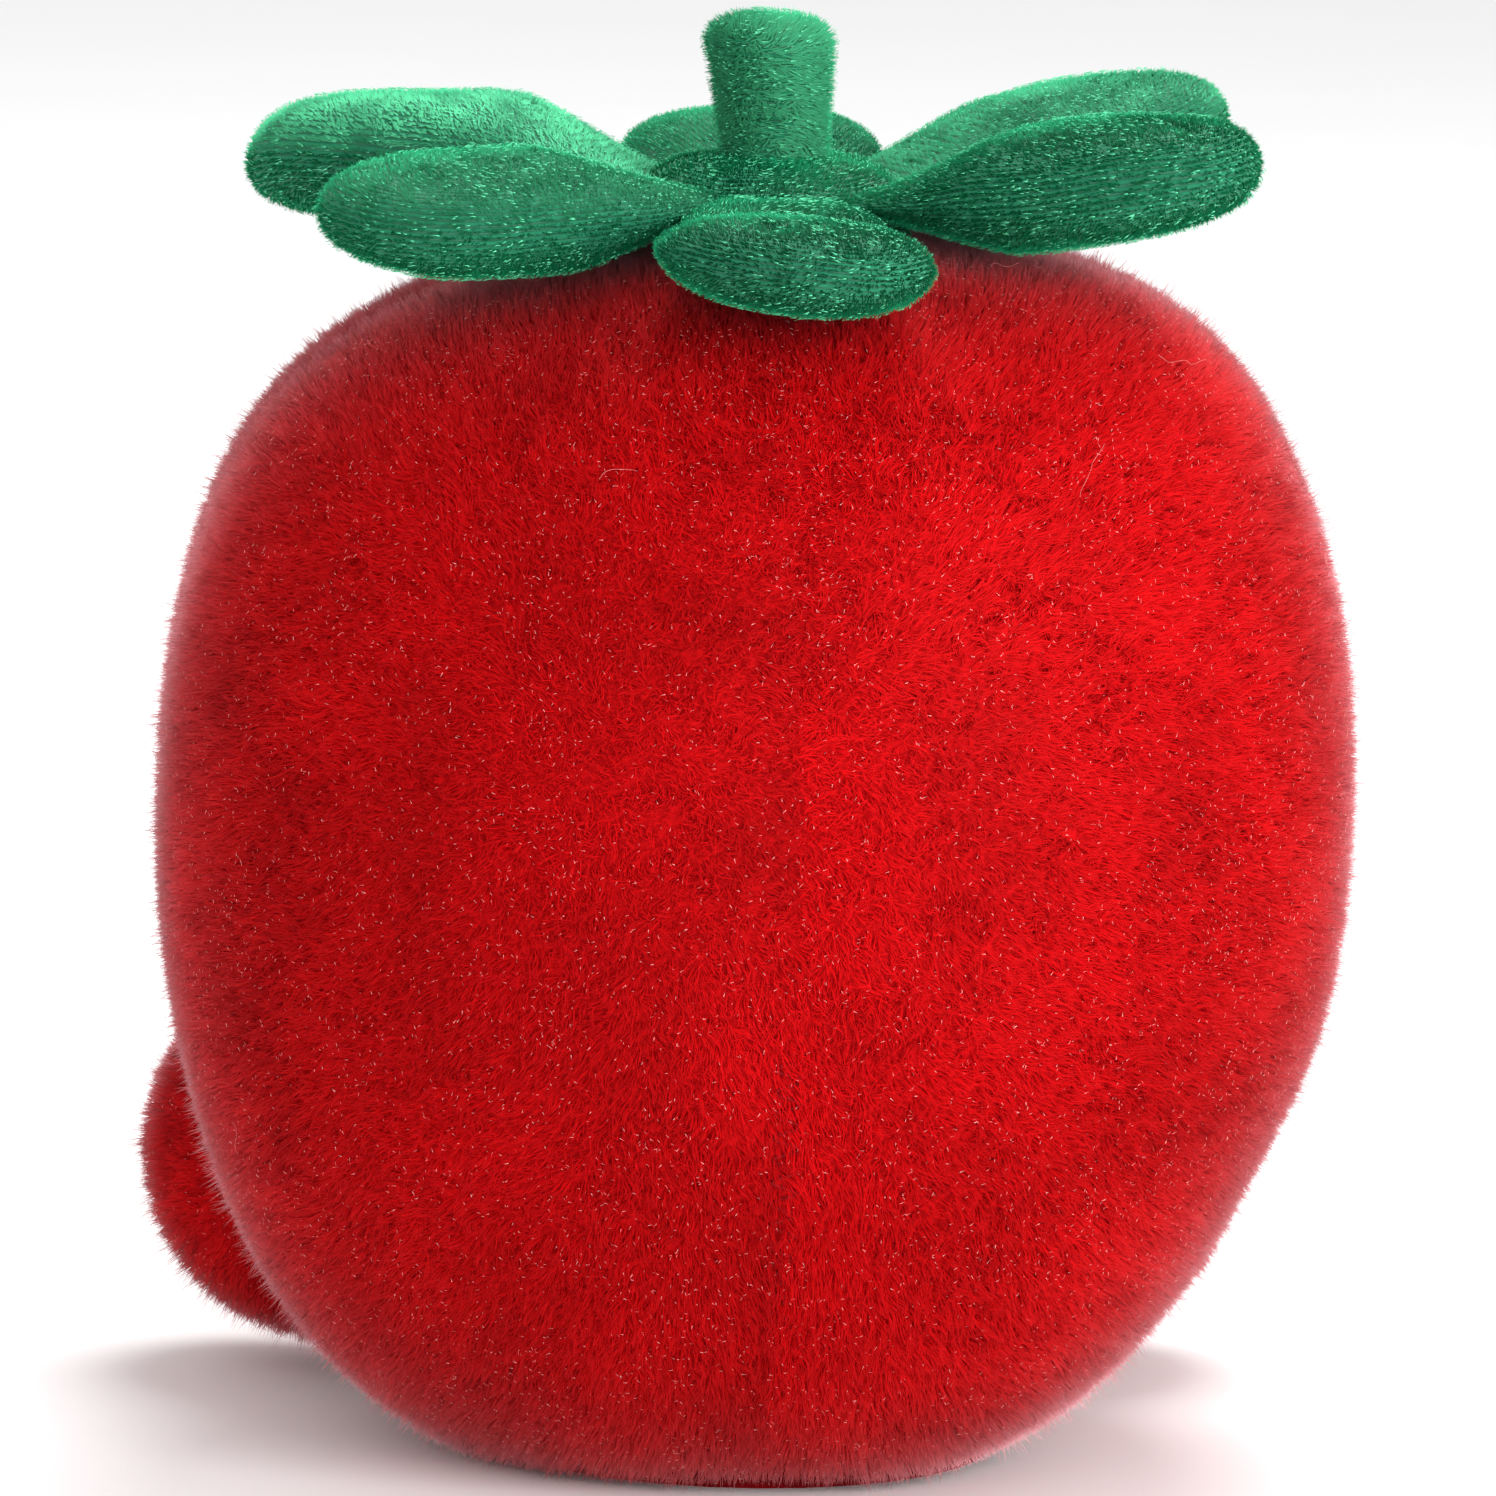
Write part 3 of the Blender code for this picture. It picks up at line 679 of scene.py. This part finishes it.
def add_closing_stitch(skin):
    """Ladder stitch that shuts the stuffing gap low in the back seam, down in the pile."""
    tree = skin_tree(skin)
    twist = make_fibre_material("stitch_twist", (0.2, 0.002, 0.004), (0.42, 0.005, 0.01), 0.25 * MM)
    curve = make_thread_curve("closing_stitch", 0.16 * MM, twist)
    curve.bevel_resolution = 2
    spline = curve.splines.new("POLY")
    spline.points.add(STITCH_POINTS - 1)
    for i in range(STITCH_POINTS):
        x = STITCH_SWING * math.sin(TAU * i / 8)
        z = STITCH_LOW + STITCH_RISE * i / STITCH_POINTS
        hit = tree.ray_cast(Vector((x, -0.1, z)), Vector((0, 1, 0)))[0]
        spline.points[i].co = (*(hit + Vector((0, -STITCH_SINK, 0))), 1.0)
    piece = add_object("closing_stitch", curve)
    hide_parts("closing_thread")
    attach(piece, "torso")


def add_lint(skin):
    """Stray curled fibres caught on top of the pile, clear of where the feet move."""
    tree = skin_tree(skin)
    fibre = make_fibre_material("lint_fibre", (0.50, 0.06, 0.06), (0.80, 0.32, 0.30), 0.8 * MM)
    curve = make_thread_curve("lint", LINT_RADIUS, fibre)
    rng = np.random.default_rng(13)
    roots, normals, _, _ = skin.scatter(LINT_DENSITY, rng)
    clear = (roots[:, 1] < 0) | (roots[:, 2] > EQUATOR_Z)
    for root, normal in zip(roots[clear], normals[clear]):
        spline = curve.splines.new("POLY")
        steps = int(rng.integers(*LINT_POINTS))
        spline.points.add(steps - 1)
        point = Vector(root)
        heading = Vector(across(rng.normal(size=3), normal)).normalized()
        turn = rng.uniform(-LINT_TURN, LINT_TURN)
        for i in range(steps):
            hit, up = tree.find_nearest(point)[:2]
            lift = (LINT_LIFT + LINT_WAVER * math.sin(i)) * MM
            spline.points[i].co = (*(hit + up * lift), 1.0)
            heading = Matrix.Rotation(turn, 3, up) @ (heading - up * heading.dot(up)).normalized()
            point = hit + heading * LINT_STEP
    piece = add_object("lint", curve)
    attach(piece, "torso")


def add_body(plush):
    skin = body_skin()
    add_closing_stitch(skin)
    add_lint(skin)
    cover = add_cover("body_cover", skin, plush.backing)
    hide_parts(*GORES, "body_stuffing")
    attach(cover, "torso")
    strands = plush.strands(skin, 5)
    plush.shade_nap(strands)
    roots = strands.parts[0]
    quarter = np.floor(np.arctan2(roots[:, 1], roots[:, 0]) / (math.pi / 2)).astype(int) + 2
    band = np.digitize(roots[:, 2], PILE_SPLITS)
    for part, gore in enumerate(GORES):
        for level, height in enumerate(("low", "middle", "high")):
            mine = (quarter == part) & (band == level)
            name = gore.replace("body", "pile") + "_" + height
            piece = add_pile(name, strands.where(mine), plush.pile, plush.SOFTNESS, part)
            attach(piece, "torso")


def foot_skin(name):
    """The foot's outer form, felt from outside along rays to the solids' surface.

    Each point takes the farthest of three rays, so that none slips into the sole's seam.
    """
    trees = []
    for node in (name + "_cover", name + "_sole"):
        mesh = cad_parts[node].data
        corners = [v.co.copy() for v in mesh.vertices]
        trees.append(BVHTree.FromPolygons(corners, [tuple(p.vertices) for p in mesh.polygons]))
    low, high = (Vector(corner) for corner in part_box(name + "_cover"))
    centre = (low + high) / 2
    out = Vector((centre.x, centre.y, 0)).normalized()
    side = Vector((0, 0, 1)).cross(out)
    far = 60 * MM
    rings = []
    for polar in np.linspace(FOOT_POLE, math.pi - FOOT_POLE, FOOT_RINGS):
        ring = []
        for turn in TAU * np.arange(FOOT_COLUMNS) / FOOT_COLUMNS:
            spoke = side * math.cos(turn) + Vector((0, 0, 1)) * math.sin(turn)
            way = out * math.cos(polar) + spoke * math.sin(polar)
            reach = 0.0
            for nudge in FOOT_FEELERS:
                near = out * math.cos(polar + nudge) + spoke * math.sin(polar + nudge)
                hits = [tree.ray_cast(centre + near * far, -near)[0] for tree in trees]
                reach = max([reach] + [(hit - centre).length for hit in hits if hit])
            ring.append(centre + way * (reach - FOOT_DEPTH))
        rings.append(ring)
    rings = np.array(rings)[::-1]
    hem = low.z + FOOT_HEM
    rings[..., 2] = hem + FOOT_LIFT + (rings[..., 2] - hem) * FOOT_STRETCH
    return ring_skin(rings, (rings[0].mean(axis=0), rings[-1].mean(axis=0)))


def add_foot(name, plush, seed):
    skin = foot_skin(name)
    ring = np.arange(len(skin.points)) // FOOT_COLUMNS
    skin = inflate(skin, np.isin(ring, FOOT_SEWN_RINGS), pressure=3.0, cap=0.8 * MM)
    skin.points[:, 2] = np.maximum(skin.points[:, 2], GROUND_GAP)
    cover = add_cover(name + "_plush", skin, plush.backing)
    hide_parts(name + "_cover", name + "_sole", name + "_stuffing")
    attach(cover, name)
    pile = add_pile(name + "_pile", plush.strands(skin, seed), plush.pile, plush.SOFTNESS, seed)
    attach(pile, name)


# ---------------------------------------------------------------- green velour


class GreenVelour:
    """The leaves' and stem's fabric: knitted ground in rows, short pile and pale flecks that are painted
    glints.
    """

    LENGTH = 0.6 * MM
    WIDTH = 0.13 * MM
    DENSITY = 26e6
    GLINTS = 2.4e6
    SOFTNESS = 0.6
    LEAN = math.radians(38)

    def __init__(self):
        self.drift = Drift(11)
        self.cloth = make_velour_material()
        # root darkened as painted shade deep in the pile, tip lightened as painted light; the pale mint last
        # colour is a painted glint and painted sheen
        self.pile = make_pile_material(
            "velour_pile",
            (0.0, 0.05, 0.017),
            (0.0, 0.12, 0.041),
            (0.002, 0.24, 0.088),
            (0.18, 0.93, 0.50),
            Specular_IOR_Level=0.06,
            Sheen_Weight=0.5,
            Sheen_Roughness=0.35,
            Sheen_Tint=(0.05, 1.0, 0.45),
        )

    def comb(self, roots, normals, around):
        return around * 0.8 + self.drift.at(roots, 3 * MM) * 0.8 + self.drift.at(roots + 2.0, 0.7 * MM) * 0.8

    def along_rows(self, roots, normals, around):
        return around + self.drift.at(roots, 2 * MM) * 0.5

    def strands(self, skin, seed, length=LENGTH, rowed=True):
        rng = np.random.default_rng(seed)
        size = (length, self.WIDTH, self.LEAN)
        pile = grow(skin, self.drift, rng, self.DENSITY, *size, self.comb, rowed=rowed)
        level = length * 0.9
        glow = (0.5, 1.0)
        pale = glint(skin, self.drift, rng, self.GLINTS, level, 0.5 * MM, 0.09 * MM, self.along_rows, glow)
        return pile + pale

    def brush(self, strands, share):
        """Painted sheen: the pile takes the pale glint colour, most on upward faces and in drifting streaks.
        A share below zero darkens every strand instead, as painted shade.
        """
        roots, _, _, tones, normals, pales = strands.parts
        streaks = 0.75 + 0.5 * self.drift.at(roots + 7.0, 2.5 * MM)[:, 0]
        facing = np.clip(normals[:, 2] * 1.4, 0, 1)
        np.maximum(pales, np.clip(share * streaks * facing, 0, 1), out=pales)
        np.clip(tones + min(share, 0), 0, 1, out=tones)


def leaf_edge(count=28):
    """One side of a leaf's outline in its own plane, from the root to near the tip."""
    share = np.sin(math.pi / 2 * np.arange(count) / count)
    belly = LEAF_HALF_WIDTH * np.sin(math.pi * share**LEAF_TAPER) ** 0.42
    width = np.hypot(belly, LEAF_ROOT_HALF_WIDTH * (1 - share))
    return (LEAF_LENGTH + LEAF_TUCK) * share - LEAF_TUCK, width


def leaf_rings():
    """Rings of the flat cushion from the top's middle over the sewn edge to the bottom's middle."""
    x, y = leaf_edge()
    outline = np.concatenate((np.stack((x, y), 1), [[LEAF_LENGTH, 0.0]], np.stack((x, -y), 1)[::-1]))
    middle = np.array([LEAF_LENGTH * LEAF_MIDDLE, 0.0])
    spreads = np.sin(np.linspace(0.12, math.pi / 2, 15))
    rings = []
    for sign, order in ((1, spreads), (-1, spreads[-2::-1])):
        for spread in order:
            flat = middle + (outline - middle) * spread
            height = sign * LEAF_HALF_THICKNESS * math.sqrt(max(0.0, 1 - spread**4))
            rings.append(np.column_stack((flat, np.full(len(flat), height))))
    return np.array(rings)


def leaf_skin(direction, rise, sag, curl, bank, stretch, plump):
    rings = leaf_rings()
    columns = rings.shape[1]
    poles = [rings[i].mean(axis=0) for i in (0, -1)]
    blank = ring_skin(rings, poles)
    edge = np.arange(len(blank.points)) // columns == len(rings) // 2
    skin = inflate(blank, edge, pressure=3.0, cap=1.4 * MM)
    points = skin.points.copy()
    share = np.clip(points[:, 0] / LEAF_LENGTH, 0, 1)
    thin = np.clip((points[:, 0] + LEAF_TUCK) / LEAF_THIN_REACH, 0.3, 1)
    points[:, 2] *= thin * plump * (1 + 0.1 * share)
    off_groove = (share - LEAF_GROOVE) / LEAF_GROOVE_SPREAD
    groove = np.exp(-(off_groove**2)) * (points[:, 2] > 0)
    points[:, 2] += (curl * share**2 - sag * groove) * MM
    points[:, 0] *= stretch
    lean = np.radians(bank) * share
    y = points[:, 1] * np.cos(lean) - points[:, 2] * np.sin(lean)
    z = points[:, 1] * np.sin(lean) + points[:, 2] * np.cos(lean)
    points[:, 1], points[:, 2] = y, z
    tilt = Matrix.Rotation(-math.radians(rise), 4, "Y")
    place = Matrix.Rotation(math.radians(direction), 4, "Z")
    place = place @ Matrix.Translation((LEAF_ROOT_RADIUS, 0, LEAF_PLANE_Z)) @ tilt
    turn = np.array(place)
    shaped = points @ turn[:3, :3].T + turn[:3, 3]
    shaped += Drift(direction % 97 + 20).at(shaped, 9 * MM) * LEAF_WOBBLE
    around = skin.around @ turn[:3, :3].T
    return Skin(shaped, skin.faces, skin.rows, around)


def add_leaf(name, form, painted_light_share, velour, seed):
    skin = leaf_skin(*form)
    cover = add_cover(name + "_cover", skin, velour.cloth)
    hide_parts(name + "_upper", name + "_lower", name + "_padding")
    strands = velour.strands(skin, seed)
    # painted sheen on upward faces; a share below zero paints shade over the whole pile instead
    velour.brush(strands, painted_light_share)
    pile = add_pile(name + "_pile", strands, velour.pile, velour.SOFTNESS, seed)
    for piece in (cover, pile):
        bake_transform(piece)


def centre_skin():
    """Low cushion under the stem, a little wider towards each leaf and most of all backwards."""
    angle = TAU * np.arange(CENTRE_COLUMNS) / CENTRE_COLUMNS
    lobes = 0.5 + 0.5 * np.cos(6 * (angle - math.radians(30)))
    backward = np.maximum(0.0, -np.sin(angle))
    rings = []
    for share, z in CENTRE_PROFILE:
        radius = share * (CENTRE_RADIUS + CENTRE_LOBE * lobes * share) * MM
        radius = radius * (1 + CENTRE_STRETCH * backward**2)
        on_top = z > CENTRE_RIM
        height = np.full(CENTRE_COLUMNS, z * MM) - on_top * share**4 * (1 - lobes) * CENTRE_DIP
        rings.append(np.stack((radius * np.cos(angle), radius * np.sin(angle), height), axis=1))
    rings = np.array(rings)
    return ring_skin(rings, (rings[0].mean(axis=0), rings[-1].mean(axis=0)))


def add_calyx_centre(velour):
    skin = centre_skin()
    skin = Skin(skin.points, [tuple(reversed(face)) for face in skin.faces], skin.rows, skin.around)
    cover = add_cover("calyx_cover", skin, velour.cloth)
    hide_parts("calyx_centre_upper", "calyx_centre_lower", "calyx_thread")
    pile = add_pile("calyx_pile", velour.strands(skin, 71), velour.pile, velour.SOFTNESS, 71)
    for piece in (cover, pile):
        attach(piece, "torso")


def stem_skin():
    """Slim stub, a little wider at its flat round top, which leans to one side."""
    angle = TAU * np.arange(STEM_COLUMNS) / STEM_COLUMNS
    foot = STEM_PIVOT_Z - 2.2 * MM
    rings = []
    tall = STEM_TOP - 1.6 * MM
    for share in np.linspace(0, 1, STEM_SIDE_ROWS):
        flare = 18 * max(0.0, 0.22 - share) ** 2
        rings.append((3.65 + 1.6 * share**1.5 + flare, foot + (tall - foot) * share))
    for radius, drop in STEM_CAP:
        rings.append((radius, STEM_TOP - drop * MM))
    stack = []
    for radius, z in rings:
        share = (z - foot) / (STEM_TOP - foot)
        lean = (0.35 - 1.1 * share) * MM
        oval = 1 + 0.05 * np.cos(2 * angle + 3 * share)
        x = radius * MM * oval * np.cos(angle) + lean
        y = radius * MM * oval * np.sin(angle)
        stack.append(np.stack((x, y, np.full(STEM_COLUMNS, z)), axis=1))
    stack = np.array(stack)
    return ring_skin(stack, (stack[0].mean(axis=0), stack[-1].mean(axis=0)))


def add_stem(velour):
    skin = stem_skin()
    row = np.arange(len(skin.points)) // STEM_COLUMNS
    skin = inflate(skin, (row == 0) | (row >= STEM_SIDE_ROWS), pressure=2.5, cap=0.5 * MM)
    cover = add_cover("stem_cover", skin, velour.cloth)
    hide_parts("stem_tube", "stem_cap")
    strands = velour.strands(skin, 81, STEM_PILE_LENGTH, rowed=False)
    # painted sheen lightens the whole stem pile
    np.maximum(strands.parts[5], STEM_SHEEN, out=strands.parts[5])
    pile = add_pile("stem_pile", strands, velour.pile, velour.SOFTNESS, 81)
    for piece in (cover, pile):
        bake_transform(piece)


# ---------------------------------------------------------------- carried solids


def dress_carried_nodes():
    """Procedural finishes for the solids that stay: base, fillings, pouch and gathering thread."""
    wadding = make_fibre_material("wadding_fibre", (0.70, 0.69, 0.65), (0.88, 0.87, 0.84), 1.2 * MM)
    pouch = make_fibre_material("pouch_weave", (0.55, 0.53, 0.47), (0.74, 0.72, 0.66), 0.4 * MM)
    red = make_fibre_material("red_twist", (0.20, 0.003, 0.006), (0.42, 0.008, 0.014), 0.25 * MM, 0.6)
    finishes = {
        "base_panel": make_backing_material("base_cloth", (0.16, 0.001, 0.002), (0.34, 0.002, 0.004)),
        "pellet_filling": make_pellet_material(),
        "pellet_pouch_upper": pouch,
        "pellet_pouch_lower": pouch,
        "gather_thread": red,
    }
    for name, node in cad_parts.items():
        finish = finishes.get(name, wadding)
        for slot in node.material_slots:
            slot.material = finish


# ---------------------------------------------------------------- studio


def add_area_light(name, place, size, power):
    light = bpy.data.lights.new(name, "AREA")
    light.shape = "DISK"
    light.size = size
    light.energy = power
    lamp = add_object(name, light)
    lamp.location = place
    lamp.rotation_euler = (CAMERA_AIM - Vector(place)).to_track_quat("-Z", "Y").to_euler()


def add_studio():
    scene = bpy.context.scene
    scene.view_settings.view_transform = "Standard"
    world = bpy.data.worlds.new("studio")
    world.use_nodes = True
    sky = world.node_tree.nodes["Background"]
    sky.inputs["Color"].default_value = (1, 1, 1, 1)
    sky.inputs["Strength"].default_value = 0.85
    scene.world = world
    reach = 3.0
    corners = np.array([(-reach, -reach, 0), (reach, -reach, 0), (reach, reach, 0), (-reach, reach, 0)])
    mesh = make_mesh("floor", corners, [(0, 1, 2, 3)])
    graph = Graph("floor", 0.8, Specular_IOR_Level=0.1)
    graph.colour(graph.mix(graph.noise(0.05), (0.93, 0.93, 0.93), (0.95, 0.95, 0.95)))
    mesh.materials.append(graph.material)
    floor = add_object("floor", mesh)
    add_area_light("key", (0.48, -0.62, 0.32), 0.40, 4.7)
    add_area_light("fill", (-0.5, -0.8, 0.20), 0.6, 1.2)
    add_area_light("low", (0.15, -0.75, 0.22), 0.40, 1.1)
    add_area_light("back", (0.15, 0.45, 0.85), 0.5, 5.4)

    lens = bpy.data.cameras.new("camera")
    lens.lens = lens.sensor_width * CAMERA_DISTANCE / FRAME_HEIGHT
    camera = add_object("camera", lens)
    turn = Matrix.Rotation(CAMERA_TURN, 4, "Z")
    rise = Matrix.Rotation(math.pi / 2 - CAMERA_RISE, 4, "X")
    roll = Matrix.Rotation(CAMERA_ROLL, 4, "Z")
    back_off = Matrix.Translation((0, 0, CAMERA_DISTANCE))
    camera.matrix_world = Matrix.Translation(turn @ CAMERA_AIM) @ turn @ rise @ roll @ back_off
    scene.camera = camera


def main():
    add_studio()
    plush = RedPlush()
    velour = GreenVelour()
    add_body(plush)
    for seed, foot in enumerate(("foot_right", "foot_left")):
        add_foot(foot, plush, 31 + seed)
    for seed, (leaf, *form, painted_light_share) in enumerate(LEAVES):
        add_leaf(leaf, form, painted_light_share, velour, 51 + seed)
    add_calyx_centre(velour)
    add_stem(velour)
    dress_carried_nodes()


main()
